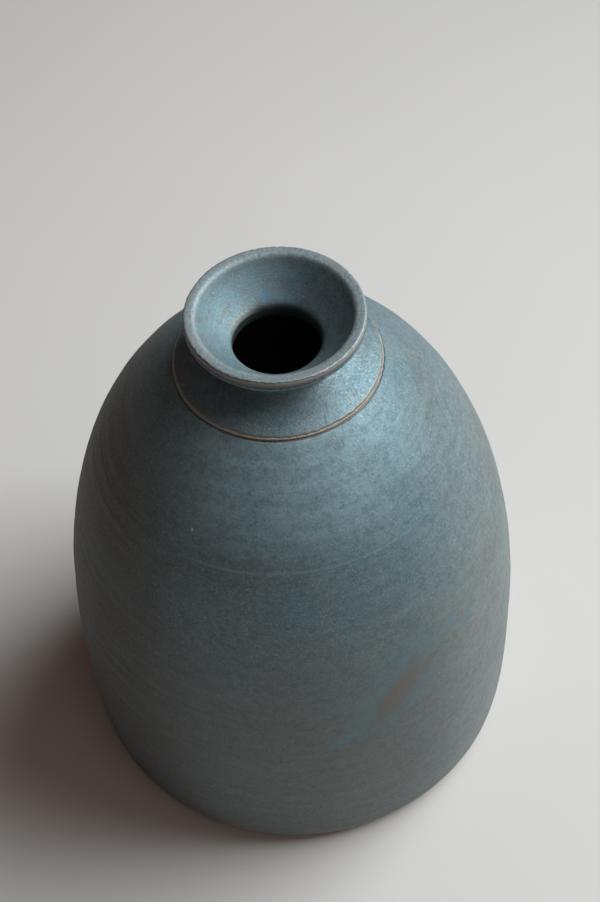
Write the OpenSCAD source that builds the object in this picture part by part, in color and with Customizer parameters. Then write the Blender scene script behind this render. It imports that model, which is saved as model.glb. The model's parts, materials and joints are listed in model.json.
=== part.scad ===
// Stoneware bud vase: a tall domed body under a short spool neck with a flared rim.
// The neck is thrown apart from the body and luted onto a flat land on its shoulder,
// where its bare clay edge stands out as a fine collar.
//
// Origin: centre of the plane that the foot ring stands on, +Z up the vase's axis.
// Millimetres and degrees. Every piece is a solid of revolution about Z, drawn as an
// outline of [radius, height] points.

/* [Body] */
// Height from the table to the top of the lip
height = 137; // [128:1:146]
// Outside radius at the widest part, glaze included
belly_r = 52.8; // [49:0.1:57]
// Height of the widest part
belly_h = 36.5; // [32:0.5:44]
// Outside radius at the top of the rounded base edge, glaze included
base_r = 51.6; // [48:0.1:52]
// Radius of the rounded base edge
base_round = 4; // [3:0.5:5]
// Angle of the shoulder below the horizontal, where it leaves the collar
shoulder_angle = 38.5; // [34:0.5:44]
// How far the shoulder keeps that angle before it turns down
shoulder_reach = 27.5; // [24:0.5:31]
// How far the wall keeps upright above the widest part
belly_reach = 36; // [30:0.5:40]

/* [Neck] */
// Outside radius of the lip
rim_r = 19; // [18:0.1:20]
// Height of the lip's bare outer edge
lip_edge = 2.3; // [1.8:0.1:2.8]
// Width of the lip's top, from its outside to where the funnel starts
lip_land = 2.6; // [2.2:0.1:3]
// Radius of the throat, glaze included
throat_r = 9.2; // [8.4:0.1:9.8]
// Depth from the lip's top to the start of the straight throat
throat_depth = 9; // [8.5:0.1:9.6]
// Length of the straight throat
throat_length = 2.2; // [1.6:0.1:2.8]
// Outside radius of the neck's waist, glaze included
waist_r = 13.4; // [13:0.1:14.2]
// Depth from the lip's top to the waist
waist_depth = 9.6; // [9:0.1:10.2]
// Outside radius of the collar
collar_r = 22.4; // [21.5:0.1:23.5]
// Depth from the lip's top to the top of the collar
collar_depth = 13.9; // [13.2:0.1:15]

/* [Clay and glaze] */
// Thickness of the body's clay wall at the belly
wall = 4.5; // [3.5:0.5:6]
// Thickness of the clay floor
floor_t = 6; // [5:0.5:8]
// Thickness of the fired glaze coats
glaze_t = 0.35; // [0.25:0.05:0.45]
// Thickness of the luting slip between the neck and the body
slip_t = 0.4; // [0.3:0.1:0.6]

/* [Foot] */
// Height of the foot ring
foot_h = 1.4; // [1:0.1:2.2]
// Outside radius of the foot ring
foot_r = 45.6; // [43:0.1:45.8]
// Width of the foot ring
foot_w = 5.5; // [4:0.5:7]

/* [Hidden] */
$fn = 128;

clay_colour = "#86705f";
slip_colour = "#a88f78";
glaze_colour = "#63828b";
liner_colour = "#3f4a4c";

// ---- Outlines ----

// Steps along a long curve, a short curve and a round corner
long_steps = 36;
short_steps = 14;
round_steps = 8;

// The way that an angle points, turned up from straight outward
function way(angle) = [cos(angle), sin(angle)];

// A smooth curve that leaves point a at one angle and comes to point b at another.
// Each reach says how far the curve keeps to its end's angle.
function bend(a, leave, reach_a, b, arrive, reach_b, steps = short_steps) =
    let (near = a + reach_a * way(leave), far = b - reach_b * way(arrive))
    [for (i = [0:steps]) let (t = i / steps, s = 1 - t)
        s * s * s * a + 3 * s * s * t * near + 3 * s * t * t * far + t * t * t * b];

// A round corner about a centre, from one angle to another
function corner(centre, r, from, to) =
    [for (i = [0:round_steps]) centre + r * way(from + (to - from) * i / round_steps)];

function last(points) = points[len(points) - 1];
function reversed(points) = [for (i = [len(points) - 1:-1:0]) points[i]];
// An outline without its first point, to follow one that ends there
function rest(points) = [for (i = [1:len(points) - 1]) points[i]];

// The way that faces out of the clay at point i of an outline, on its left-hand side
function face(points, i) =
    let (run = points[min(i + 1, len(points) - 1)] - points[max(i - 1, 0)])
    points[i][0] == 0 ? [0, 1] : [-run[1], run[0]] / norm(run);

// The section of a glaze coat on the left-hand side of an outline. Each end thins out
// over a number of points, or stays full where that number is 0.
function coat(points, thin_start, thin_end) =
    let (n = len(points))
    concat(points, reversed([for (i = [0:n - 1])
        let (share = min(1, (i + 1) / (thin_start + 1), (n - i) / (thin_end + 1)))
        points[i] + glaze_t * sqrt(share) * face(points, i)]));

// ---- Levels and radii ----

// Under the glaze, the clay is smaller by the thickness of the coat
bare_throat_r = throat_r + glaze_t;
collar_h = height - collar_depth;
// The collar's edge is a fine round nose
nose_r = 0.3;
neck_base_h = collar_h - 2 * nose_r;
land_h = neck_base_h - slip_t;
land_inset = 0.1;
land_r = collar_r - land_inset;
// The slip stays a little behind the collar's edge, which leaves a dark line
slip_r = collar_r - 2 * nose_r;

// Under the throat the inside widens on a straight flare, which runs on into the shoulder
flare_angle = 39;
under_round = 1;
throat_end_h = height - throat_depth - throat_length;
throat_under = corner([bare_throat_r + under_round, throat_end_h], under_round,
                      180, 270 - flare_angle);
function flare_at(h) =
    let (start = last(throat_under))
    [start[0] + (start[1] - h) / tan(flare_angle), h];

// ---- Body ----

// Lean of the wall where it meets the rounded base edge
base_lean = 12;
// How far the wall keeps upright under the widest part, and keeps its lean at the base
belly_drop = 9;
base_reach = 8;

belly = [belly_r - glaze_t, belly_h];
base_centre = [base_r - glaze_t, foot_h + base_round] - base_round * way(-base_lean);
shoulder = bend([land_r, land_h], -shoulder_angle, shoulder_reach,
                belly, -90, belly_reach, long_steps);
base_edge = corner([base_centre[0], foot_h + base_round], base_round, -base_lean, -90);
low_wall = bend(belly, -90, belly_drop, base_edge[0], -90 - base_lean, base_reach);
body_outside = concat(shoulder, rest(low_wall), rest(base_edge));

// The inside has a wide cove round the floor, and narrows to the neck's flare
cove_r = 13;
cove_inset = 1;
cove_lean = 4;
cove_reach = 5;
inner_r = belly_r - glaze_t - wall;
belly_inside = [inner_r, belly_h];
cove = corner([inner_r - cove_inset - cove_r, foot_h + floor_t + cove_r], cove_r, -90, -cove_lean);
inside_reach = 26;
inner_belly_reach = belly_reach + 2;
// The shoulder's inside joins the flare a little under the land
flare_depth = 0.6;
shoulder_end_h = land_h - flare_depth;
body_inside = concat(
    [[0, foot_h + floor_t]],
    cove,
    rest(bend(last(cove), 90 - cove_lean, cove_reach, belly_inside, 90, cove_reach, round_steps)),
    rest(bend(belly_inside, 90, inner_belly_reach, flare_at(shoulder_end_h),
              180 - flare_angle, inside_reach, long_steps)),
    [flare_at(land_h)]);

// ---- Neck ----

// The lip has an upright bare edge, and its glazed top starts part way round the corner
edge_round = 0.5;
glaze_from = 35;
lip_top_h = height - glaze_t;
lip_centre = [rim_r - edge_round, lip_top_h - edge_round];
lip_bare = corner(lip_centre, edge_round, 0, glaze_from);
lip_over = corner(lip_centre, edge_round, glaze_from, 90);
// The top is dished a little, and ends in a soft inner edge that drops into the bowl
lip_dish = 0.1;
lip_reach = 0.5;
inner_round = 0.2;
bowl_start_angle = 242;
inner_centre = [rim_r - lip_land + glaze_t + inner_round, lip_top_h - lip_dish - inner_round];
inner_edge = corner(inner_centre, inner_round, 90, bowl_start_angle - 90);
lip_top = bend(last(lip_over), 180, lip_reach, inner_edge[0], 180, lip_reach, round_steps);
// The bowl of the funnel flattens towards the throat, which starts with a crisp edge
throat_round = 0.45;
bowl_start_reach = 3;
bowl_end_angle = 220;
bowl_end_reach = 4;
throat_edge = corner([bare_throat_r + throat_round, height - throat_depth], throat_round,
                     bowl_end_angle - 90, 180);
bowl = bend(last(inner_edge), bowl_start_angle, bowl_start_reach,
            throat_edge[0], bowl_end_angle, bowl_end_reach);
neck_inside = concat(lip_over, rest(lip_top), rest(inner_edge), rest(bowl), rest(throat_edge),
                     throat_under);

// The outside falls from under the lip to the waist and flares again to the collar
under_lip_angle = 240;
under_lip_reach = 4;
over_waist_reach = 2;
under_waist_reach = 2.1;
collar_angle = 20;
collar_reach = 4.6;
lip_edge_centre = [rim_r - edge_round, height - lip_edge + edge_round];
lip_under = lip_edge_centre + edge_round * way(under_lip_angle - 270);
waist = [waist_r - glaze_t, height - waist_depth];
nose_centre = [collar_r - nose_r, collar_h - nose_r];
nose_top_angle = 65;
neck_outside = concat(
    bend(lip_under, under_lip_angle, under_lip_reach, waist, 270, over_waist_reach),
    rest(bend(waist, 270, under_waist_reach,
              nose_centre + nose_r * way(nose_top_angle), -collar_angle, collar_reach)));

// ---- Pieces ----

module turned(outline, colour) {
    color(colour) rotate_extrude() polygon(outline);
}

// Clay: belly, shoulder and floor in one, with a flat land for the neck
module thrown_body() {
    turned(concat(body_outside, [[0, foot_h]], body_inside), clay_colour);
}

// Clay: the ring that the vase stands on, with its bottom edges softened
module foot_ring() {
    soft = 0.6;
    foot_in = foot_r - foot_w;
    turned(concat([[foot_in, foot_h], [foot_r, foot_h]],
                  corner([foot_r - soft, soft], soft, 0, -90),
                  corner([foot_in + soft, soft], soft, -90, -180)), clay_colour);
}

// Slip: the thin joint that holds the neck to the body
module luting_slip() {
    turned([flare_at(land_h), [slip_r, land_h], [slip_r, neck_base_h], flare_at(neck_base_h)],
           slip_colour);
}

// Clay: waist, flared rim and collar in one
module thrown_neck() {
    turned(concat([flare_at(neck_base_h)],
                  corner(nose_centre, nose_r, -90, nose_top_angle),
                  rest(reversed(neck_outside)),
                  rest(corner(lip_edge_centre, edge_round, under_lip_angle - 270, 0)),
                  lip_bare,
                  rest(neck_inside)), clay_colour);
}

// Glaze: the coat on the outside of the body, from the collar to the bare base edge
module body_glaze() {
    bare_points = 4;
    glazed = [for (i = [0:len(body_outside) - 1 - bare_points]) body_outside[i]];
    turned(coat(glazed, 1, 3), glaze_colour);
}

// Glaze: the coat on the outside of the neck, between the bare lip edge and the bare collar
module neck_glaze() {
    turned(coat(rest(neck_outside), 2, 2), glaze_colour);
}

// Glaze: the coat over the lip, down the bowl and the throat to the slip joint
module funnel_glaze() {
    turned(coat(reversed(concat(neck_inside, [flare_at(land_h)])), 0, 3), glaze_colour);
}

// Glaze: the coat that lines the body and holds the water
module liner_glaze() {
    turned(coat(body_inside, 0, 0), liner_colour);
}

thrown_body();
foot_ring();
luting_slip();
thrown_neck();
body_glaze();
neck_glaze();
funnel_glaze();
liner_glaze();
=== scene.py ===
"""Looks of a stoneware bud vase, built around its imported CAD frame.

Every piece is turned about Z from an outline of (radius, height) points in millimetres, given
the small unevenness of thrown clay and brushed glaze, and made into a mesh in metres.
"""

import json
import math

import bmesh
import bpy
import numpy as np
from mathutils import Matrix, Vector


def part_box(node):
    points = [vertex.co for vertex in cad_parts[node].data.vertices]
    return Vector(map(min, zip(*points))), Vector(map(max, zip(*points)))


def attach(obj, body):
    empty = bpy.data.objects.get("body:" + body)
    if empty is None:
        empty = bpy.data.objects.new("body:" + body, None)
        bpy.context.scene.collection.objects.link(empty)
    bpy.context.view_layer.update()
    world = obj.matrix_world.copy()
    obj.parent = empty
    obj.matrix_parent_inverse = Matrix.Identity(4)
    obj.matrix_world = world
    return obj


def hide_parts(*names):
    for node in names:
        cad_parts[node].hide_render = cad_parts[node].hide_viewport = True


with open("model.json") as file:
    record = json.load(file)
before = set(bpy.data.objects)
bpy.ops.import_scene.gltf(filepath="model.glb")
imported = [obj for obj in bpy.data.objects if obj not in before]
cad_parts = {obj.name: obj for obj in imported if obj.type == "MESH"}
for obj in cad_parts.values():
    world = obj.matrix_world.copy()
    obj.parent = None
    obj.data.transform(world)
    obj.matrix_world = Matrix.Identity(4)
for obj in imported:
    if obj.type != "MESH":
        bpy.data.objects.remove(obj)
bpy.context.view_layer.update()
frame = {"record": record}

MM = 0.001


# ---- Sizes in millimetres, from the frame ----

def corners(node):
    """Lowest and highest corner of a CAD node, in millimetres."""
    return [np.array(corner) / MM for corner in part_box(node)]


def radius_of(node):
    """Outside radius of a turned CAD node, in millimetres."""
    return max(corners(node)[1][:2])


mounts = {mount["name"]: mount for mount in frame["record"]["mounts"]}
HEIGHT = corners("funnel_glaze")[1][2]
THROAT_R = mounts["throat"]["dims"]["r_mm"]
COLLAR_R = radius_of("thrown_neck")
NECK_BASE_H = corners("thrown_neck")[0][2]
LAND_H = corners("thrown_body")[1][2]
BELLY_R = radius_of("body_glaze")
BASE_H, FOOT_TOP_H = corners("thrown_body")[0][2], corners("foot_ring")[1][2]
FOOT_R = radius_of("foot_ring")
SLIP_R = radius_of("luting_slip")

# The rest repeats the CAD source's own values, in millimetres and degrees
GLAZE_T = 0.35
BELLY_H = 36.5
BASE_R = 51.6
BASE_ROUND = 4
BASE_LEAN = 12
SHOULDER_ANGLE = 38.5
SHOULDER_REACH = 27.5
BELLY_REACH = 36
LAND_INSET = 0.1
BELLY_DROP = 9
BASE_REACH = 8
WALL = 4.5
FLOOR_T = 6
FOOT_W = 5.5
FLARE_ANGLE = 39
FLARE_DEPTH = 0.6
INSIDE_REACH = 26
INNER_BELLY_REACH = BELLY_REACH + 2
COVE_R = 13
COVE_LEAN = 4
COVE_INSET = 1
COVE_REACH = 5
EDGE_ROUND = 0.5
LIP_EDGE = 2.3
LIP_LAND = 2.6
LIP_DISH = 0.1
LIP_REACH = 0.5
INNER_ROUND = 0.2
BOWL_START = 242
BOWL_START_REACH = 3
BOWL_END = 220
BOWL_END_REACH = 4
THROAT_DEPTH = 9
THROAT_LENGTH = 2.2
THROAT_ROUND = 0.45
THROAT_UNDER_ROUND = 1
UNDER_LIP_ANGLE = 240
UNDER_LIP_REACH = 4
WAIST_R = 13.4
WAIST_DEPTH = 9.6
OVER_WAIST_REACH = 2
UNDER_WAIST_REACH = 2.1
COLLAR_ANGLE = 20
COLLAR_REACH = 4.6
NOSE_R = 0.3
NOSE_TOP_ANGLE = 65
RIM_R = 19

BARE_THROAT_R = THROAT_R + GLAZE_T
COLLAR_TOP = NECK_BASE_H + 2 * NOSE_R
LIP_TOP_H = HEIGHT - GLAZE_T
THROAT_TOP_H = HEIGHT - THROAT_DEPTH
# Where round the lip's corner the glaze on its top starts, in degrees up from level
GLAZE_FROM = 35

# A fine raised line across the shoulder: its height, its radius, how far it climbs, and the
# azimuth that it climbs towards
RING_H = 99.8
RING_R = 40
RING_TILT = 0.8
RING_UP = math.radians(-30)
# The azimuth where the line is clearest, and how far it runs and then fades either way, in
# radians
RING_MIDDLE = math.radians(-82)
RING_HALF = 0.45
RING_FADE = 0.45


# ---- Outlines ----

# Outline points closer than this, in millimetres, count as one
SAME_POINT = 1e-4


def way(angle):
    """The way that an angle points, in degrees turned up from straight outward."""
    return np.array([math.cos(math.radians(angle)), math.sin(math.radians(angle))])


def bend(start, leave, reach_start, end, arrive, reach_end, steps=60):
    """A smooth curve that leaves start at one angle and comes to end at another."""
    start, end = np.array(start, float), np.array(end, float)
    near, far = start + reach_start * way(leave), end - reach_end * way(arrive)
    t = np.linspace(0, 1, steps + 1)[:, None]
    s = 1 - t
    return s**3 * start + 3 * s * s * t * near + 3 * s * t * t * far + t**3 * end


def corner(centre, r, start, end, steps=12):
    """A round corner about a centre, from one angle to another."""
    return np.array([np.array(centre) + r * way(a) for a in np.linspace(start, end, steps + 1)])


def join(*lines):
    """One line through several, without repeating the points where they meet."""
    points = [np.array(lines[0][0], float)]
    for line in lines:
        for point in line:
            if np.hypot(*(point - points[-1])) > SAME_POINT:
                points.append(np.array(point, float))
    return np.array(points)


def lengths(line):
    """Distance along a line at each of its points."""
    return np.concatenate([[0], np.cumsum(np.hypot(*np.diff(line, axis=0).T))])


def along(line, distance):
    """Points and outward normals at distances along a line, with the clay on its right."""
    at = lengths(line)
    place = np.stack([np.interp(distance, at, line[:, k]) for k in (0, 1)], -1)
    run = np.gradient(line, at, axis=0)
    run /= np.hypot(*run.T)[:, None]
    turn = np.stack([np.interp(distance, at, run[:, k]) for k in (0, 1)], -1)
    turn /= np.hypot(turn[..., 0], turn[..., 1])[..., None]
    return place, np.stack([-turn[..., 1], turn[..., 0]], -1)


BASE_EDGE_STEPS = 24
belly = (BELLY_R - GLAZE_T, BELLY_H)
base_centre = np.array([BASE_R - GLAZE_T, BASE_H + BASE_ROUND]) - BASE_ROUND * way(-BASE_LEAN)
base_edge = corner((base_centre[0], BASE_H + BASE_ROUND), BASE_ROUND, -BASE_LEAN, -90,
                   steps=BASE_EDGE_STEPS)
body_outside = join(
    bend((COLLAR_R - LAND_INSET, LAND_H), -SHOULDER_ANGLE, SHOULDER_REACH,
         belly, -90, BELLY_REACH, steps=200),
    bend(belly, -90, BELLY_DROP, base_edge[0], -90 - BASE_LEAN, BASE_REACH),
    base_edge)

# Under the throat the inside widens on a straight flare, which runs on into the shoulder
throat_under = corner(
    (BARE_THROAT_R + THROAT_UNDER_ROUND, THROAT_TOP_H - THROAT_LENGTH), THROAT_UNDER_ROUND,
    180, 270 - FLARE_ANGLE)


def flare_at(height):
    """The point of the flare at a height."""
    drop = throat_under[-1][1] - height
    return [throat_under[-1][0] + drop / math.tan(math.radians(FLARE_ANGLE)), height]


belly_inside = (BELLY_R - GLAZE_T - WALL, BELLY_H)
floor_top = BASE_H + FLOOR_T
cove = corner((belly_inside[0] - COVE_INSET - COVE_R, floor_top + COVE_R), COVE_R,
              -90, -COVE_LEAN, steps=24)
body_inside = join(
    [[0, floor_top]], cove,
    bend(cove[-1], 90 - COVE_LEAN, COVE_REACH, belly_inside, 90, COVE_REACH, steps=20),
    bend(belly_inside, 90, INNER_BELLY_REACH,
         flare_at(LAND_H - FLARE_DEPTH), 180 - FLARE_ANGLE, INSIDE_REACH, steps=100),
    [flare_at(LAND_H)])

# The lip's edge is bare, and the glaze on its top starts part way round the corner
lip_centre = (RIM_R - EDGE_ROUND, LIP_TOP_H - EDGE_ROUND)
lip_bare = corner(lip_centre, EDGE_ROUND, 0, GLAZE_FROM)
lip_over = corner(lip_centre, EDGE_ROUND, GLAZE_FROM, 90)
inner_centre = (RIM_R - LIP_LAND + GLAZE_T + INNER_ROUND, LIP_TOP_H - LIP_DISH - INNER_ROUND)
inner_edge = corner(inner_centre, INNER_ROUND, 90, BOWL_START - 90)
throat_edge = corner((BARE_THROAT_R + THROAT_ROUND, THROAT_TOP_H), THROAT_ROUND,
                     BOWL_END - 90, 180)
funnel_outline = join(
    lip_over,
    bend(lip_over[-1], 180, LIP_REACH, inner_edge[0], 180, LIP_REACH, steps=20),
    inner_edge,
    bend(inner_edge[-1], BOWL_START, BOWL_START_REACH,
         throat_edge[0], BOWL_END, BOWL_END_REACH, steps=80),
    throat_edge, throat_under, [flare_at(LAND_H)])

lip_edge_centre = np.array([RIM_R - EDGE_ROUND, HEIGHT - LIP_EDGE + EDGE_ROUND])
lip_under = lip_edge_centre + EDGE_ROUND * way(UNDER_LIP_ANGLE - 270)
waist = (WAIST_R - GLAZE_T, HEIGHT - WAIST_DEPTH)
nose_centre = np.array([COLLAR_R - NOSE_R, NECK_BASE_H + NOSE_R])
neck_outside = join(
    bend(lip_under, UNDER_LIP_ANGLE, UNDER_LIP_REACH, waist, 270, OVER_WAIST_REACH),
    bend(waist, 270, UNDER_WAIST_REACH,
         nose_centre + NOSE_R * way(NOSE_TOP_ANGLE), -COLLAR_ANGLE, COLLAR_REACH))


# ---- Unevenness ----

def waves(seed, count, size, turns, pitches):
    """A function of angle and height that sums random ripples round the vase.

    size is about how far they move a surface, in millimetres. Each ripple has a whole number
    of turns from the range, and a pitch in millimetres of height from the other one.
    """
    draw = np.random.default_rng(seed)
    ripples = [(draw.uniform(0.4, 1) * size / math.sqrt(count),
                draw.integers(turns[0], turns[1] + 1),
                2 * math.pi / draw.uniform(*pitches) * draw.choice([-1, 1]),
                draw.uniform(0, 2 * math.pi)) for _ in range(count)]
    return lambda angle, height: sum(
        a * np.cos(n * angle + k * height + phase) for a, n, k, phase in ripples)


out_of_round = waves(seed=3, count=4, size=0.12, turns=(2, 3), pitches=(120, 300))
throwing = waves(seed=7, count=12, size=0.05, turns=(0, 2), pitches=(1.6, 6))
dimples = waves(seed=11, count=14, size=0.07, turns=(3, 14), pitches=(12, 40))
ripple = waves(seed=13, count=24, size=0.05, turns=(20, 120), pitches=(2, 7))
edge_waver = waves(seed=17, count=22, size=1.0, turns=(2, 90), pitches=(40, 90))
# Read at another height, the edge's waver is different at a coat's other end
END_WAVER_H = 31


# ---- Meshes ----

# How much a coat's rings crowd at its ends, how far that reaches in millimetres, and how much
# they crowd on the stretches that ask for finer ones
END_CROWD = 5
END_CROWD_REACH = 0.6
FINE_CROWD = 3
# Places along a coat where the crowding is worked out
DENSITY_SAMPLES = 4000
# How far a coat sinks into the clay under it, and the number of rings on that side
COAT_SINK = 0.15
BACKING_RINGS = 40
# Mesh points closer than this, in metres, are merged
WELD = 1e-7


def solid(name, r, z, angle):
    """A closed mesh from rings: r and z in millimetres, one row for each ring of an outline."""
    r = r + np.where(r > SAME_POINT, out_of_round(angle, z), 0)
    rings, columns = r.shape
    points = np.stack([r * np.cos(angle), r * np.sin(angle), z], -1).reshape(-1, 3) * MM
    i, j = np.meshgrid(np.arange(rings), np.arange(columns), indexing="ij")
    i2, j2 = (i + 1) % rings, (j + 1) % columns
    quads = np.stack([i * columns + j, i * columns + j2, i2 * columns + j2, i2 * columns + j], -1)
    mesh = bpy.data.meshes.new(name)
    mesh.from_pydata(points.tolist(), [], quads.reshape(-1, 4).tolist())
    shape = bmesh.new()
    shape.from_mesh(mesh)
    bmesh.ops.remove_doubles(shape, verts=shape.verts, dist=WELD)
    bmesh.ops.recalc_face_normals(shape, faces=shape.faces)
    for face in shape.faces:
        face.smooth = True
    shape.to_mesh(mesh)
    shape.free()
    piece = bpy.data.objects.new(name, mesh)
    bpy.context.scene.collection.objects.link(piece)
    return piece


def angles(columns):
    """Evenly spaced angles round the vase, as one row."""
    return np.linspace(0, 2 * math.pi, columns, endpoint=False)[None, :]


def turned(name, outline, columns=256):
    """A clay piece from a closed outline, plainly turned but a little out of round."""
    angle = angles(columns)
    r = np.repeat(outline[:, :1], columns, 1)
    z = np.repeat(outline[:, 1:], columns, 1)
    return solid(name, r, z, angle)


def coat(name, line, relief, rings, columns, start_waver=0, end_waver=0,
         start_roll=0.5, end_roll=0.5, finer=()):
    """A glaze coat that lies on a line and sinks a little into the clay under it.

    relief(angle, height, r) adds to its thickness. Each end wavers and rolls off like a
    drop's edge over start_roll and end_roll; 0 leaves an end square. finer lists
    (distance, half width) stretches of the line that get more rings.
    """
    angle = angles(columns)
    total = lengths(line)[-1]
    # Rings lie closer at both ends and on the finer stretches
    fine = np.linspace(0, 1, DENSITY_SAMPLES)
    density = (1 + END_CROWD * np.exp(-fine * total / END_CROWD_REACH)
               + END_CROWD * np.exp(-(1 - fine) * total / END_CROWD_REACH))
    for place, half in finer:
        density += FINE_CROWD * (abs(fine * total - place) < half)
    share = np.cumsum(density)
    share = (share - share[0]) / (share[-1] - share[0])
    t = np.interp(np.linspace(0, 1, rings), share, fine)[:, None]
    start = start_waver * (1 + edge_waver(angle, 0))
    end = total - end_waver * (1 + edge_waver(angle, END_WAVER_H))
    distance = start + t * (end - start)
    place, normal = along(line, distance)

    def roll(depth, width):
        if width == 0:
            return np.ones_like(depth)
        near = np.clip(depth / width, 0, 1)
        return np.sqrt(1 - (1 - near) ** 2)

    thick = roll(distance - start, start_roll) * roll(end - distance, end_roll)
    height = thick * (GLAZE_T + relief(angle, place[..., 1], place[..., 0]))
    outer = place + normal * height[..., None]
    backing = np.linspace(0, rings - 1, BACKING_RINGS).round().astype(int)[::-1]
    inner = (place - COAT_SINK * normal)[backing]
    whole = np.concatenate([outer, inner])
    return solid(name, np.maximum(whole[..., 0], 0), whole[..., 1], angle)


# ---- Materials ----

# A spot colours the wall within this many millimetres of its middle, in or out
SPOT_DEPTH = 12


class Nodes:
    """Adds nodes to a material. Positions are in millimetres in the vase's own frame."""

    def __init__(self, name):
        self.material = bpy.data.materials.new(name)
        self.material.use_nodes = True
        self.tree = self.material.node_tree
        self.tree.nodes.clear()
        self.output = self.add("OutputMaterial")
        self.shader = self.add("BsdfPrincipled")
        self.link(self.shader.outputs[0], self.output.inputs[0])
        place = self.add("TexCoord").outputs["Object"]
        self.place = self.vector("MULTIPLY", place, (1 / MM,) * 3)
        split = self.add("SeparateXYZ")
        self.link(self.place, split.inputs[0])
        self.x, self.y, self.z = split.outputs
        self.radius = self.math("SQRT", self.math(
            "ADD", self.math("MULTIPLY", self.x, self.x), self.math("MULTIPLY", self.y, self.y)))

    def add(self, kind, **settings):
        """A node of a kind, with some of its settings changed."""
        node = self.tree.nodes.new("ShaderNode" + kind)
        for name, value in settings.items():
            setattr(node, name, value)
        return node

    def link(self, source, socket):
        """Feeds a socket from another node's output, or gives it a plain value."""
        if isinstance(source, bpy.types.NodeSocket):
            self.tree.links.new(source, socket)
        else:
            socket.default_value = source

    def math(self, operation, a, b=0.0, c=0.0, clamp=False):
        """One sum on numbers or sockets."""
        node = self.add("Math", operation=operation, use_clamp=clamp)
        for source, socket in zip((a, b, c), node.inputs):
            self.link(source, socket)
        return node.outputs[0]

    def vector(self, operation, a, b, output=0):
        """One sum on vectors."""
        node = self.add("VectorMath", operation=operation)
        self.link(a, node.inputs[0])
        self.link(b, node.inputs[1])
        return node.outputs[output]

    def noise(self, size, detail=2.0, roughness=0.5, stretch=(1, 1, 1), seed=0.0):
        """Noise from 0 to 1 whose features are about size millimetres wide."""
        node = self.add("TexNoise", noise_dimensions="4D")
        source = self.place
        if stretch != (1, 1, 1):
            source = self.vector("MULTIPLY", source, tuple(1 / s for s in stretch))
        self.link(source, node.inputs["Vector"])
        node.inputs["W"].default_value = seed
        node.inputs["Scale"].default_value = 1 / size
        node.inputs["Detail"].default_value = detail
        node.inputs["Roughness"].default_value = roughness
        return node.outputs["Fac"]

    def span(self, value, low, high, to_low=0.0, to_high=1.0, smooth=True):
        """Maps value from low..high to to_low..to_high, and holds the ends."""
        node = self.add("MapRange", interpolation_type="SMOOTHSTEP" if smooth else "LINEAR")
        for source, name in ((value, "Value"), (low, "From Min"), (high, "From Max"),
                             (to_low, "To Min"), (to_high, "To Max")):
            self.link(source, node.inputs[name])
        return node.outputs[0]

    def band(self, value, middle, half, soft):
        """1 where value is within half of middle, falling to 0 over soft."""
        away = self.math("ABSOLUTE", self.math("SUBTRACT", value, middle))
        return self.span(away, half + soft, half)

    def both(self, *factors):
        """The product of factors: 1 only where all of them are 1."""
        product = factors[0]
        for factor in factors[1:]:
            product = self.math("MULTIPLY", product, factor)
        return product

    def spot(self, r, azimuth, z, lean, long, wide, soft=0.35, warp=0.0, seed=0.0):
        """A leaf-shaped spot on a wall: 1 inside and 0 outside, with an uneven soft edge.

        Its middle is at a radius, azimuth and height. It leans up from level by an angle,
        and is long and wide millimetres from its middle to its tips and sides.
        """
        a, b = math.radians(azimuth), math.radians(lean)
        out = Vector((math.cos(a), math.sin(a), 0))
        level = Vector((-math.sin(a), math.cos(a), 0))
        up = Vector((0, 0, 1))
        middle = out * r + up * z
        offset = self.vector("SUBTRACT", self.place, middle)
        u, v, depth = (self.vector("DOT_PRODUCT", offset, axis, "Value") for axis in (
            level * math.cos(b) + up * math.sin(b), up * math.cos(b) - level * math.sin(b), out))
        shape = self.math("ADD", self.math("POWER", self.math("ABSOLUTE", self.math(
            "DIVIDE", u, long)), 2), self.math("ABSOLUTE", self.math("DIVIDE", v, wide)))
        shape = self.math("ADD", shape, self.math("ABSOLUTE", self.math(
            "DIVIDE", depth, SPOT_DEPTH)))
        if warp:
            uneven = self.math("MULTIPLY_ADD", self.noise(wide, 3, seed=seed), warp, -warp / 2)
            shape = self.math("ADD", shape, uneven)
        return self.span(shape, 1 + soft, 1 - soft)

    def mix(self, factor, a, b):
        """Colour a where factor is 0, and b where it is 1."""
        node = self.add("Mix", data_type="RGBA", blend_type="MIX")
        self.link(factor, node.inputs["Factor"])
        for source, name in ((a, "A"), (b, "B")):
            socket = [s for s in node.inputs if s.name == name and s.type == "RGBA"][0]
            self.link(source, socket)
        return [s for s in node.outputs if s.type == "RGBA"][0]

    def bump(self, height, distance, normal=None):
        """Bump from a height of 0 to 1 that stands for distance millimetres."""
        node = self.add("Bump")
        node.inputs["Strength"].default_value = 1
        node.inputs["Distance"].default_value = distance * MM
        self.link(height, node.inputs["Height"])
        if normal is not None:
            self.link(normal, node.inputs["Normal"])
        return node.outputs[0]


def rgb(r, g, b):
    """A colour in linear light."""
    return (r, g, b, 1.0)


def ring_height(n):
    """Height above the fine raised line on the shoulder, which isn't quite level."""
    tilt = n.math("ADD", n.math("MULTIPLY", n.x, RING_TILT * math.cos(RING_UP) / RING_R),
                  n.math("MULTIPLY", n.y, RING_TILT * math.sin(RING_UP) / RING_R))
    return n.math("SUBTRACT", n.math("SUBTRACT", n.z, RING_H), tilt)


def ring_share(n):
    """1 where the raised line is clear, falling to 0 round the back."""
    azimuth = n.math("SUBTRACT", n.math("ARCTAN2", n.y, n.x), RING_MIDDLE)
    azimuth = n.math("WRAP", azimuth, math.pi, -math.pi)
    return n.band(azimuth, 0, RING_HALF, RING_FADE)


# ---- Glaze ----

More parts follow.
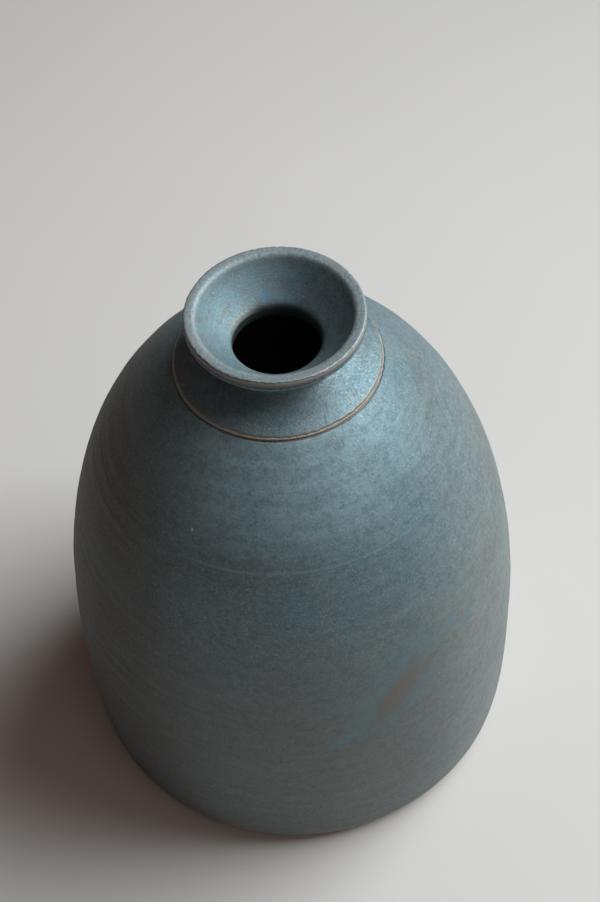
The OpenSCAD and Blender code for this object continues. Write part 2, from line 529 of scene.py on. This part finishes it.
BLUE, PALER_BLUE = rgb(0.165, 0.262, 0.312), rgb(0.198, 0.284, 0.315)
BLOOM_AND_HIGHLIGHT_BLUE = rgb(0.295, 0.44, 0.51)
GREY, DRIFT_GREY = rgb(0.180, 0.207, 0.205), rgb(0.185, 0.185, 0.19)
# The first grey on the next line is painted shade for the dark left side, and the second is painted
# light for the paler right side
PAINTED_SHADE_GREY, PAINTED_LIGHT_GREY = rgb(0.110, 0.107, 0.102), rgb(0.29, 0.325, 0.325)
LINE_DARK, BRUSH_PALE = rgb(0.10, 0.145, 0.16), rgb(0.26, 0.38, 0.42)
MOTTLE_DARK = rgb(0.09, 0.125, 0.14)
CRYSTAL_PALE, GRAIN_DARK = rgb(0.34, 0.49, 0.56), rgb(0.06, 0.08, 0.085)
RAISED_PALE = rgb(0.25, 0.40, 0.44)
HALO_BLUE, SMEAR_BLUE = rgb(0.13, 0.235, 0.28), rgb(0.13, 0.26, 0.33)
LEAF_GREY, LEAF_BROWN = rgb(0.155, 0.15, 0.14), rgb(0.225, 0.17, 0.14)
# The colour on the next line is painted light for the lit left wall of the bowl
BOWL_PAINTED_LIGHT = rgb(0.27, 0.385, 0.44)
BOWL_BROWN, BOWL_TEAL = rgb(0.175, 0.185, 0.175), rgb(0.18, 0.335, 0.375)
RUN_BLUE, CRUMB_WHITE = rgb(0.15, 0.30, 0.46), rgb(0.68, 0.71, 0.70)
LIP_PALE_AND_HIGHLIGHT, LIP_WORN = rgb(0.35, 0.43, 0.46), rgb(0.33, 0.335, 0.34)
THIN_BROWN, THROAT_TAN = rgb(0.26, 0.24, 0.205), rgb(0.30, 0.29, 0.24)
# The colour on the next line is painted shade for the throat
THROAT_SHADE = rgb(0.035, 0.033, 0.028)

# The glaze changes from one height or x to another, and the change with x is painted shade on the
# left and painted light on the right. Soft clouds of this width move both by up to a drift
CLOUD = 24
GREY_FROM_H, GREY_TO_H, GREY_H_DRIFT = 118, 72, 34
LEFT_FROM_X, LEFT_TO_X, LEFT_DRIFT = -12, -34, 12
RIGHT_FROM_X, RIGHT_TO_X, RIGHT_DRIFT = 28, 47, 8
# The marks on the lower body: the body's radius there, and the leaf's azimuth, height and lean
MARKS_R = 51
LEAF_AZIMUTH, LEAF_H, LEAF_LEAN = -65, 60.2, 48
# Azimuth, height, lean, length and width of the leaf's two tips
LEAF_TIPS = ((-61, 66.5, 68, 5, 1.7), (-56.5, 64.3, 35, 4.5, 1.5))
# Azimuth, height, lean and length of the smears
SMEARS = ((-41, 68.7, 20, 4), (-47, 72, 50, 3), (-80.5, 49, 30, 5))
# The bowl's radius at its top, and how much that grows with each millimetre of height
BOWL_R = 17
BOWL_SLOPE = 0.79


def clouded_blue_and_painted_light(n):
    """Blue on the shoulder and the neck, and greyer lower down and on the left, where painted shade
    also darkens it. It also holds painted light on the right and a partly painted highlight on the
    front of the shoulder.
    """
    cloud = n.noise(CLOUD, detail=3, seed=1)
    lowness = n.span(n.math("MULTIPLY_ADD", cloud, GREY_H_DRIFT, n.z), GREY_FROM_H, GREY_TO_H)
    # Painted shade: towards the left, away from the lamp, the glaze turns greyer and then dark grey
    left_shade = n.span(n.math("MULTIPLY_ADD", cloud, LEFT_DRIFT, n.x), LEFT_FROM_X, LEFT_TO_X)
    greyness = n.math("MAXIMUM", lowness, left_shade)
    patches = n.span(n.noise(8, detail=4, seed=2), 0.34, 0.66)
    colour = n.mix(patches, BLUE, PALER_BLUE)
    # The front of the shoulder, under the collar, has the brightest blue: partly a paler bloom of
    # blue crystals and partly a painted highlight where the shoulder faces the front light
    bloom_and_highlight = n.both(n.span(n.z, 98, 112), n.span(n.z, COLLAR_TOP, COLLAR_TOP - 1),
                    n.span(n.y, -4, -20), n.span(n.x, -32, -10), n.span(n.x, 30, 10, 0.4, 1))
    colour = n.mix(n.math("MULTIPLY", bloom_and_highlight, 0.95), colour, BLOOM_AND_HIGHLIGHT_BLUE)
    colour = n.mix(greyness, colour, GREY)
    colour = n.mix(n.math("MULTIPLY", left_shade, 0.85), colour, PAINTED_SHADE_GREY)
    # Painted light: towards the right, where the lamp falls, the glaze turns a paler grey
    right_light = n.span(n.math("MULTIPLY_ADD", cloud, RIGHT_DRIFT, n.x), RIGHT_FROM_X, RIGHT_TO_X)
    colour = n.mix(n.math("MULTIPLY", right_light, 0.6), colour, PAINTED_LIGHT_GREY)
    drift = n.span(n.noise(13, detail=2, stretch=(2, 2, 1), seed=8), 0.5, 0.72, 0, 0.35)
    return n.mix(drift, colour, DRIFT_GREY), greyness


def brushed(n, colour):
    """Fine lines from throwing and brushing. Also gives the throwing lines, for bump."""
    line = n.noise(1.0, detail=3, stretch=(16, 16, 0.6), seed=3)
    brush = n.noise(1.0, detail=2, stretch=(30, 30, 2.2), seed=4)
    colour = n.mix(n.span(line, 0.35, 0.7, 0, 0.16), colour, LINE_DARK)
    return n.mix(n.span(brush, 0.45, 0.7, 0, 0.10), colour, BRUSH_PALE), line


def grained(n, colour, greyness):
    """Mottle, with pale crystals and dark grains that are weaker where the glaze is grey."""
    mottle = n.noise(1.6, detail=3, roughness=0.65, seed=9)
    colour = n.mix(n.span(mottle, 0.32, 0.62, 0.35, 0), colour, MOTTLE_DARK)
    speckle = n.noise(0.5, detail=3, roughness=0.65, seed=5)
    crisp = n.span(greyness, 0, 1, 1, 0.4)
    pale = n.both(n.span(speckle, 0.53, 0.70, 0, 0.60), crisp)
    colour = n.mix(pale, colour, CRYSTAL_PALE)
    dark = n.both(n.span(speckle, 0.45, 0.30, 0, 0.50), crisp)
    return n.mix(dark, colour, GRAIN_DARK)


def body_marks(n, colour):
    """The pale raised line, a thin brown leaf in a blue halo, and blue smears round it."""
    broken = n.span(n.noise(2.5, detail=3, seed=10), 0.25, 0.6, 0.15, 0.65)
    line_here = n.both(n.band(ring_height(n), 0, 0.15, 0.25), ring_share(n), broken)
    colour = n.mix(line_here, colour, RAISED_PALE)
    halo = n.spot(MARKS_R, LEAF_AZIMUTH, LEAF_H + 2.3, LEAF_LEAN, long=17, wide=8.5,
                  soft=0.7, warp=0.6, seed=11)
    colour = n.mix(n.math("MULTIPLY", halo, 0.5), colour, HALO_BLUE)
    leaf = n.spot(MARKS_R, LEAF_AZIMUTH, LEAF_H, LEAF_LEAN, long=11.5, wide=3.6,
                  soft=0.5, warp=0.8, seed=12)
    for azimuth, height, lean, long, wide in LEAF_TIPS:
        tip = n.spot(MARKS_R, azimuth, height, lean, long, wide, soft=0.5, warp=0.5, seed=height)
        leaf = n.math("MAXIMUM", leaf, n.math("MULTIPLY", tip, 0.8))
    rust = n.mix(n.noise(3, detail=3, seed=17), LEAF_GREY, LEAF_BROWN)
    colour = n.mix(n.math("MULTIPLY", leaf, 0.7), colour, rust)
    for azimuth, height, lean, long in SMEARS:
        smear = n.spot(MARKS_R, azimuth, height, lean, long, wide=1.6,
                       soft=0.6, warp=0.6, seed=azimuth)
        colour = n.mix(n.math("MULTIPLY", smear, 0.5), colour, SMEAR_BLUE)
    return colour


def bowl_light_and_marks(n, colour):
    """The bowl has painted light that makes its left wall, which faces the lamp, paler, and it is
    mottled with brown and teal.
    """
    # Painted light: the bowl's left and back wall, which the lamp lights, is made paler
    lit_left_bowl = n.both(n.span(n.z, THROAT_TOP_H, THROAT_TOP_H + 1), n.span(n.radius, BOWL_R, BOWL_R - 1))
    lit_left_bowl = n.both(lit_left_bowl, n.span(n.math("SUBTRACT", n.y, n.x), 4, 16))
    colour = n.mix(n.math("MULTIPLY", lit_left_bowl, 0.4), colour, BOWL_PAINTED_LIGHT)
    inside = n.both(n.span(n.z, THROAT_TOP_H, THROAT_TOP_H + 1),
                    n.span(n.radius, BOWL_R, BOWL_R - 0.6))
    blotch = n.noise(2.6, detail=4, roughness=0.6, seed=18)
    colour = n.mix(n.both(inside, n.span(blotch, 0.5, 0.66, 0, 0.45)), colour, BOWL_BROWN)
    return n.mix(n.both(inside, n.span(blotch, 0.48, 0.34, 0, 0.4)), colour, BOWL_TEAL)


def small_marks(n, colour):
    """One blue run in the bowl, and one white crumb on the shoulder."""
    run = n.spot(11.4, 98, 130, 90, long=1.2, wide=0.9, soft=0.95, warp=0.8, seed=13)
    colour = n.mix(n.math("MULTIPLY", run, 0.75), colour, RUN_BLUE)
    crumb = n.spot(37.1, -123.5, 105.6, 0, long=0.28, wide=0.28)
    return n.mix(crumb, colour, CRUMB_WHITE)


def lip_top(n, colour):
    """Paler in patches on top of the lip, partly from thinner glaze and partly as a painted
    highlight, and worn grey in others.
    """
    top = n.both(n.span(n.z, HEIGHT - 1.6, HEIGHT - 0.8), n.span(n.radius, 15.6, 16.4))
    # Partly painted highlight: the top of the lip, which faces the light, is paler in patches
    paler_and_highlight = n.span(n.noise(0.6, detail=3, seed=16), 0.35, 0.65, 0.25, 0.75)
    colour = n.mix(n.both(top, paler_and_highlight), colour, LIP_PALE_AND_HIGHLIGHT)
    worn = n.span(n.noise(2.2, detail=4, seed=19), 0.46, 0.64, 0, 0.6)
    return n.mix(n.both(top, worn), colour, LIP_WORN)


def thin_edges_and_throat_shade(n, colour):
    """Brown where the glaze runs thin over an edge: collar, lip, base and throat. Also painted
    shade at the throat.
    """
    breaking = n.noise(0.9, detail=3, seed=14)
    near_collar = n.both(n.span(n.radius, 21.5, 22.2), n.span(n.z, COLLAR_TOP - 0.3, COLLAR_TOP))
    near_collar = n.both(near_collar, n.span(n.z, COLLAR_TOP + 1.5, COLLAR_TOP + 1))
    near_lip = n.both(n.span(n.radius, RIM_R - 0.25, RIM_R), n.span(n.z, HEIGHT - 2, HEIGHT - 1))
    near_base = n.both(n.span(n.z, 5.8, 4.2), n.span(n.radius, 44, 46))
    thin = n.math("ADD", n.math("ADD", near_collar, near_lip), near_base)
    thin = n.math("MULTIPLY", thin, n.span(breaking, 0.3, 0.6, 0.35, 0.9), clamp=True)
    colour = n.mix(thin, colour, THIN_BROWN)
    # Round the throat it breaks to tan on the left. Painted shade darkens it at the back and
    # inside, where the light does not reach
    at_throat = n.both(n.band(n.z, THROAT_TOP_H + 0.6, 0.3, 0.7), n.span(n.radius, 11.4, 10.2))
    tan_side = n.both(n.span(n.x, -3, -6), n.span(n.y, 1, 4))
    tan = n.both(at_throat, tan_side, n.span(breaking, 0.3, 0.6, 0.2, 0.6))
    colour = n.mix(tan, colour, THROAT_TAN)
    # Painted shade: near black below the back of the throat's edge and inside the throat
    throat_shade = n.both(n.span(n.z, THROAT_TOP_H + 1.7, THROAT_TOP_H + 0.1),
                  n.span(n.radius, 12, 10.2), n.span(n.math("ADD", n.x, n.y), 0, 7))
    inside = n.both(n.span(n.z, THROAT_TOP_H + 0.1, THROAT_TOP_H - 0.3), n.span(n.radius, 11, 10))
    throat_shade = n.math("MAXIMUM", throat_shade, inside)
    return n.mix(n.math("MULTIPLY", throat_shade, 0.85), colour, THROAT_SHADE)


def glaze_material(name):
    """Satin matt blue-grey glaze that breaks to brown where it is thin."""
    n = Nodes(name)
    colour, greyness = clouded_blue_and_painted_light(n)
    colour, line = brushed(n, colour)
    colour = body_marks(n, grained(n, colour, greyness))
    colour = small_marks(n, bowl_light_and_marks(n, colour))
    colour = thin_edges_and_throat_shade(n, lip_top(n, colour))
    n.link(colour, n.shader.inputs["Base Color"])
    # The sheen of fine crystals: a weak tinted gloss, strongest where the glaze is blue
    blueness = n.math("SUBTRACT", 1, greyness)
    n.link(n.span(blueness, 0, 1, 0.15, 0.45, smooth=False), n.shader.inputs["Metallic"])
    uneven = n.span(n.noise(0.55, detail=2, seed=6), 0.3, 0.7, -0.08, 0.08)
    # The outside of the neck and the lip are smoother than the body and the bowl. Going down
    # the bowl, this radius stays the same, and it is larger on the lip and outside it
    slope_r = n.math("MULTIPLY_ADD", n.math("SUBTRACT", HEIGHT, n.z), BOWL_SLOPE, n.radius)
    gloss = n.both(n.span(n.z, COLLAR_TOP - 1, COLLAR_TOP), n.span(slope_r, BOWL_R, 18.2))
    rough = n.math("ADD", uneven, n.span(gloss, 0, 1, 0.62, 0.48))
    n.link(rough, n.shader.inputs["Roughness"])
    grain = n.bump(n.noise(0.5, detail=2, seed=7), 0.06)
    n.link(n.bump(line, 0.05, grain), n.shader.inputs["Normal"])
    n.shader.inputs["IOR"].default_value = 1.33
    return n.material


# ---- Clay, liner and table ----

CLAY, PALER_CLAY = rgb(0.29, 0.23, 0.185), rgb(0.37, 0.31, 0.255)
GRIT_PALE, GRIT_DARK = rgb(0.46, 0.40, 0.34), rgb(0.13, 0.10, 0.08)
FILM_LOW, FILM_HIGH = rgb(0.10, 0.107, 0.11), rgb(0.28, 0.30, 0.305)
RUBBED_CLAY, COLLAR_FILM = rgb(0.46, 0.435, 0.385), rgb(0.235, 0.275, 0.285)
TURNED_DARK = rgb(0.20, 0.155, 0.12)
LINER_DARK, LINER_PALE = rgb(0.15, 0.16, 0.15), rgb(0.21, 0.22, 0.205)
TABLE, PALER_TABLE = rgb(0.675, 0.67, 0.665), rgb(0.71, 0.705, 0.70)
# The colour on the next line is painted shade for the table far from the vase
TABLE_PAINTED_SHADE = rgb(0.52, 0.515, 0.51)
# Painted shade: the table darkens from one distance to another, standing in for the light falling
# off away from the vase
TABLE_NEAR, TABLE_FAR = 90, 420


def clay_material(name):
    """Bare fired stoneware: grey-brown, dry and slightly sandy."""
    n = Nodes(name)
    colour = n.mix(n.noise(3, detail=4, seed=21), CLAY, PALER_CLAY)
    grit = n.noise(0.35, detail=2, seed=22)
    colour = n.mix(n.span(grit, 0.58, 0.7, 0, 0.5), colour, GRIT_PALE)
    colour = n.mix(n.span(grit, 0.4, 0.3, 0, 0.6), colour, GRIT_DARK)
    # The edge of the lip has a grey film of wiped glaze, darker towards its lower corner
    edge = n.both(n.span(n.z, HEIGHT - 3, HEIGHT - 2.4), n.span(n.radius, RIM_R - 1, RIM_R - 0.6))
    film = n.mix(n.span(n.z, HEIGHT - 1.9, HEIGHT - 0.7), FILM_LOW, FILM_HIGH)
    streaks = n.span(n.noise(0.8, detail=3, stretch=(1, 1, 3), seed=24), 0.35, 0.65, 0.8, 1)
    colour = n.mix(n.both(edge, streaks), colour, film)
    # The collar's nose is rubbed paler, and has a grey film of glaze, thicker on both sides
    collar = n.both(n.band(n.z, NECK_BASE_H + NOSE_R, 0.3, 0.3), n.span(n.radius, 21.6, 22))
    rubbed = n.span(n.noise(0.9, detail=3, seed=25), 0.35, 0.65, 0.55, 1)
    colour = n.mix(n.both(collar, rubbed), colour, RUBBED_CLAY)
    sides = n.span(n.math("ABSOLUTE", n.x), 4, 17, 0.15, 0.62)
    filmed = n.both(sides, n.span(n.noise(1.6, detail=3, seed=26), 0.34, 0.6, 0.5, 1.3))
    colour = n.mix(n.both(collar, filmed), colour, COLLAR_FILM)
    # Turning lines
    line = n.noise(1.0, detail=3, stretch=(1, 1, 60), seed=23)
    colour = n.mix(n.span(line, 0.5, 0.75, 0, 0.15), colour, TURNED_DARK)
    n.link(colour, n.shader.inputs["Base Color"])
    n.link(n.span(grit, 0.3, 0.7, 0.7, 0.9), n.shader.inputs["Roughness"])
    n.link(n.bump(grit, 0.08), n.shader.inputs["Normal"])
    return n.material


def liner_material(name):
    """Dark smooth glaze inside the body."""
    n = Nodes(name)
    n.link(n.mix(n.noise(9, detail=3, seed=31), LINER_DARK, LINER_PALE),
           n.shader.inputs["Base Color"])
    n.link(n.span(n.noise(2, seed=32), 0.3, 0.7, 0.3, 0.45), n.shader.inputs["Roughness"])
    n.link(n.bump(n.noise(1.2, detail=2, seed=33), 0.05), n.shader.inputs["Normal"])
    return n.material


def floor_material(name):
    """A plain pale table, with painted shade that darkens it a little away from the vase."""
    n = Nodes(name)
    colour = n.mix(n.noise(60, detail=3, seed=41), TABLE, PALER_TABLE)
    # Painted shade away from the vase
    colour = n.mix(n.span(n.radius, TABLE_NEAR, TABLE_FAR), colour, TABLE_PAINTED_SHADE)
    n.link(colour, n.shader.inputs["Base Color"])
    n.shader.inputs["Roughness"].default_value = 0.6
    return n.material


# ---- Pieces ----

glaze = glaze_material("satin_glaze")
clay = clay_material("stoneware")
liner = liner_material("liner_glaze")


def finish(piece, material, node):
    """Gives a piece its material, hangs it under the root body and hides the CAD node that it
    stands for.
    """
    piece.data.materials.append(material)
    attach(piece, "root")
    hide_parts(node)


# Height and width of the raised line's relief
RAISED = 0.07
RAISED_W = 0.3
# The band under the lip where the glaze hangs: its distance below the rim, and its width
HANG_DEPTH = 4.5
HANG_W = 1.5


def body_relief(angle, height, r):
    """Throwing lines, soft dimples and the raised line."""
    level = height - RING_H - RING_TILT * np.cos(angle - RING_UP)
    away = abs((angle - RING_MIDDLE + math.pi) % (2 * math.pi) - math.pi)
    share = np.clip(1 - (away - RING_HALF) / RING_FADE, 0, 1)
    line = RAISED * share * np.exp(-(level / RAISED_W) ** 2)
    return throwing(angle, height) + dimples(angle, height) + line


def liner_relief(angle, height, r):
    """Stronger throwing lines, as the inside isn't smoothed."""
    return 2 * throwing(angle, height) + dimples(angle, height)


def neck_relief(angle, height, r):
    """Fine throwing lines, and a rippled band where the glaze hangs under the lip."""
    pooled = np.exp(-((height - (HEIGHT - HANG_DEPTH)) / HANG_W) ** 2)
    return 0.5 * throwing(angle, height) + 0.3 * dimples(angle, height) + (
        pooled * ripple(angle, height))


def funnel_relief(angle, height, r):
    """Faint throwing lines and dimples, and a ripple that stops above the throat."""
    return 0.4 * throwing(angle, height) + 0.3 * dimples(angle, height) + (
        0.25 * ripple(angle, r)) * (r > BARE_THROAT_R + 1)


columns = 420
body_rings = 195
# The coat ends half way round the base edge
body_line = body_outside[:-BASE_EDGE_STEPS // 2]
ring_at = lengths(body_line)[np.argmin(abs(body_line[:, 1] - RING_H))]
finish(coat("body_glaze_coat", body_line, body_relief, body_rings, columns, start_waver=0.08,
            end_waver=0.6, start_roll=0.2, finer=[(ring_at, 2)]),
       glaze, "body_glaze")
finish(coat("neck_glaze_coat", neck_outside, neck_relief, 90, columns, start_waver=0.25,
            end_waver=0.12), glaze, "neck_glaze")
finish(coat("funnel_glaze_coat", funnel_outline, funnel_relief, 150, columns, start_waver=0.15,
            start_roll=0.35, end_roll=0), glaze, "funnel_glaze")
finish(coat("liner_glaze_coat", body_inside[::-1], liner_relief, 150, 200, start_roll=0,
            end_roll=0), liner, "liner_glaze")

# Shallow turning rings on the clay inside the foot ring: their distance from it, the outermost
# radius, half their depth, and their pitch
TURNED_INSET = 1
TURNED_R = FOOT_R - FOOT_W - TURNED_INSET
TURNED_DEPTH = 0.06
TURNED_PITCH = 1.3
under_r = np.linspace(TURNED_R, 0, 160)
under_z = BASE_H + TURNED_DEPTH * (1 - np.cos(2 * math.pi * (TURNED_R - under_r) / TURNED_PITCH))
underside = np.stack([under_r, under_z], -1)
# Under the glaze the clay needs fewer rings than these last ones round its bare base edge
BASE_RINGS = 30
clay_outside = np.concatenate([body_outside[:-BASE_RINGS:3], body_outside[-BASE_RINGS:]])
finish(turned("clay_body", join(clay_outside, underside, body_inside), columns=220),
       clay, "thrown_body")
finish(turned("clay_neck", join(
    [flare_at(NECK_BASE_H)], corner(nose_centre, NOSE_R, -90, NOSE_TOP_ANGLE),
    neck_outside[::-1], corner(lip_edge_centre, EDGE_ROUND, UNDER_LIP_ANGLE - 270, 0),
    lip_bare, funnel_outline[:-1])), clay, "thrown_neck")
finish(turned("slip_joint", np.array([
    flare_at(LAND_H), [SLIP_R, LAND_H], [SLIP_R, NECK_BASE_H], flare_at(NECK_BASE_H)])),
    clay, "luting_slip")
# The foot ring's worn edges are this round
FOOT_ROUND = 0.6
finish(turned("clay_foot_ring", join(
    [[FOOT_R - FOOT_W, FOOT_TOP_H], [FOOT_R, FOOT_TOP_H]],
    corner((FOOT_R - FOOT_ROUND, FOOT_ROUND), FOOT_ROUND, 0, -90),
    corner((FOOT_R - FOOT_W + FOOT_ROUND, FOOT_ROUND), FOOT_ROUND, -90, -180))),
    clay, "foot_ring")


# ---- Stage, in metres ----

FLOOR_SIZE = 16.0
# The camera's sensor and lens, in millimetres
CAMERA_SENSOR = 23.7
CAMERA_LENS = 49.92
# How far in front of the vase's axis it is, and how far above the rim
CAMERA_BACK = 0.26271
CAMERA_ABOVE_RIM = 0.29054
# Its tilt up from looking straight down, roll and turn, in degrees
CAMERA_TURN = (37.84, 2.14, -3.50)
LIGHT_DISTANCE = 1.5
# The height on the axis that both lights face
LIGHTS_AIM_H = 0.07
ROOM_WARM, ROOM_STRENGTH = rgb(1.0, 0.66, 0.52), 0.07
BACKDROP_DARK = rgb(0.050, 0.042, 0.038)

bpy.ops.mesh.primitive_plane_add(size=FLOOR_SIZE)
floor = bpy.context.object
floor.name = "floor"
floor.data.materials.append(floor_material("floor"))

camera = bpy.data.objects.new("camera", bpy.data.cameras.new("camera"))
camera.data.sensor_width = CAMERA_SENSOR
camera.data.lens = CAMERA_LENS
camera.location = (0, -CAMERA_BACK, HEIGHT * MM + CAMERA_ABOVE_RIM)
camera.rotation_euler = [math.radians(a) for a in CAMERA_TURN]
bpy.context.scene.collection.objects.link(camera)
bpy.context.scene.camera = camera


def area_light(name, direction, size, power, colour):
    """A square soft light that faces the vase's middle from a direction."""
    lamp = bpy.data.lights.new(name, "AREA")
    lamp.size = size
    lamp.energy = power
    lamp.color = colour
    thing = bpy.data.objects.new(name, lamp)
    bpy.context.scene.collection.objects.link(thing)
    toward = Vector(direction).normalized()
    thing.location = toward * LIGHT_DISTANCE + Vector((0, 0, LIGHTS_AIM_H))
    thing.rotation_euler = toward.to_track_quat("Z", "Y").to_euler()


area_light("window", (0.68, 0.20, 0.70), size=1.25, power=32, colour=(0.97, 1.0, 0.992))
area_light("room", (0.40, -0.60, 0.69), size=1.0, power=1.4, colour=(1.0, 0.92, 0.86))

# A dim warm room lights the shadows. In its place the camera sees the plain dark backdrop
# that the floor fades into
world = bpy.data.worlds.new("room")
world.use_nodes = True
room = world.node_tree.nodes["Background"]
room.inputs["Color"].default_value = ROOM_WARM
room.inputs["Strength"].default_value = ROOM_STRENGTH
backdrop = world.node_tree.nodes.new("ShaderNodeBackground")
backdrop.inputs["Color"].default_value = BACKDROP_DARK
seen = world.node_tree.nodes.new("ShaderNodeLightPath")
choice = world.node_tree.nodes.new("ShaderNodeMixShader")
for source, socket in ((seen.outputs["Is Camera Ray"], choice.inputs[0]),
                       (room.outputs[0], choice.inputs[1]),
                       (backdrop.outputs[0], choice.inputs[2]),
                       (choice.outputs[0], world.node_tree.nodes["World Output"].inputs[0])):
    world.node_tree.links.new(source, socket)
bpy.context.scene.world = world
bpy.context.scene.view_settings.view_transform = "Standard"
